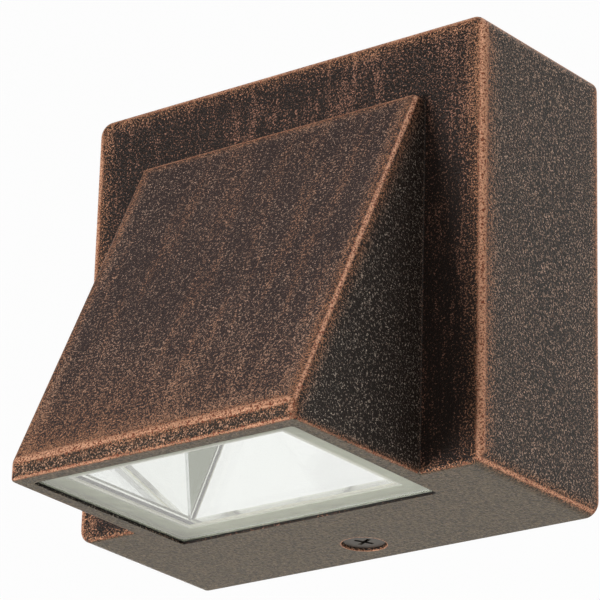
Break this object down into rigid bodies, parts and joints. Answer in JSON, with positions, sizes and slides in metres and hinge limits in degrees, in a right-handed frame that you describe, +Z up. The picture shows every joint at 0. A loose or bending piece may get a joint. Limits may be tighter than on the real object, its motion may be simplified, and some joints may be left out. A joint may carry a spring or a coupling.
{
  "type": "wall pack light",
  "caption": "Small square wall light with a wedge hood that throws light down through a glass window in its underside.",
  "frame": {"origin": "centre of the wall face, on the wall's surface, midway between the plate's two wall slots", "axes": "+X to the right as seen from in front, +Y into the wall, +Z up"},
  "size_m": [0.1, 0.0787, 0.094],
  "materials": {
    "antique_copper_coat": "textured antique copper powder coat, rubbed through on the edges",
    "clear_glass": "clear",
    "pale_silicone": "matt pale grey silicone",
    "bright_reflector": "bright specular",
    "white_circuit_board": "white solder mask",
    "phosphor_yellow": "yellow phosphor",
    "grey_silicone": "soft grey pad",
    "plain_aluminium": "mill finish",
    "zinc_steel": "bright zinc plate",
    "black_rubber": "matt",
    "white_plastic": "moulded",
    "brass": "plain",
    "brown_insulation": "extruded",
    "blue_insulation": "extruded",
    "green_yellow_insulation": "extruded, striped",
    "green_circuit_board": "green solder mask",
    "dark_ferrite": "ferrite core with yellow tape",
    "black_sleeve": "shrink sleeve",
    "black_plastic": "moulded",
    "red_insulation": "extruded",
    "black_insulation": "extruded",
    "dark_bronze_steel": "dark bronze plated steel"
  },
  "bodies": {
    "wall_plate": {"mounting_plate": "zinc_steel", "earth_washer": "brass", "earth_screw": "brass"},
    "luminaire": {"housing": "antique_copper_coat", "window_glass": "clear_glass", "glass_gasket": "pale_silicone", "reflector": "bright_reflector", "led_board": "white_circuit_board", "led_emitters": "phosphor_yellow", "led_board_screws": "zinc_steel", "thermal_pad": "grey_silicone", "heat_sink_plate": "plain_aluminium", "heat_sink_screws": "zinc_steel", "back_cover": "zinc_steel", "back_cover_gasket": "black_rubber", "back_cover_screws": "zinc_steel", "wall_gasket": "black_rubber", "wire_grommet": "black_rubber", "terminal_block": "white_plastic", "terminal_screws": "brass", "terminal_fixing_screws": "zinc_steel", "lead_live": "brown_insulation", "lead_neutral": "blue_insulation", "lead_earth": "green_yellow_insulation", "cover_earth_screw": "brass", "driver_case": "white_plastic", "driver_lid": "white_plastic", "driver_board": "green_circuit_board", "driver_transformer": "dark_ferrite", "driver_capacitors": "black_sleeve", "driver_rectifier": "black_plastic", "driver_screws": "zinc_steel", "led_wire_red": "red_insulation", "led_wire_black": "black_insulation", "screw_seal_ring": "black_rubber"},
    "lock_screw": {"lock_screw": "dark_bronze_steel"},
    "lock_nut": {"lock_nut": "zinc_steel"}
  },
  "joints": [
    {"name": "luminaire_pull_off", "type": "slide", "parent": "wall_plate", "child": "luminaire", "axis": [0, -1, 0], "range_m": [0, 0.045]},
    {"name": "lock_screw_turn", "type": "hinge", "parent": "luminaire", "child": "lock_screw", "pos_m": [0, -0.0092, -0.0465], "axis": [0, 0, -1], "range_deg": [0, 1440]},
    {"name": "lock_nut_travel", "type": "slide", "parent": "luminaire", "child": "lock_nut", "axis": [0, 0, 1], "range_m": [0, 0.0028]}
  ],
  "couplings": [
    {"joint": "lock_screw_turn", "follows": "lock_nut_travel", "rad_per_m": 8976}
  ]
}
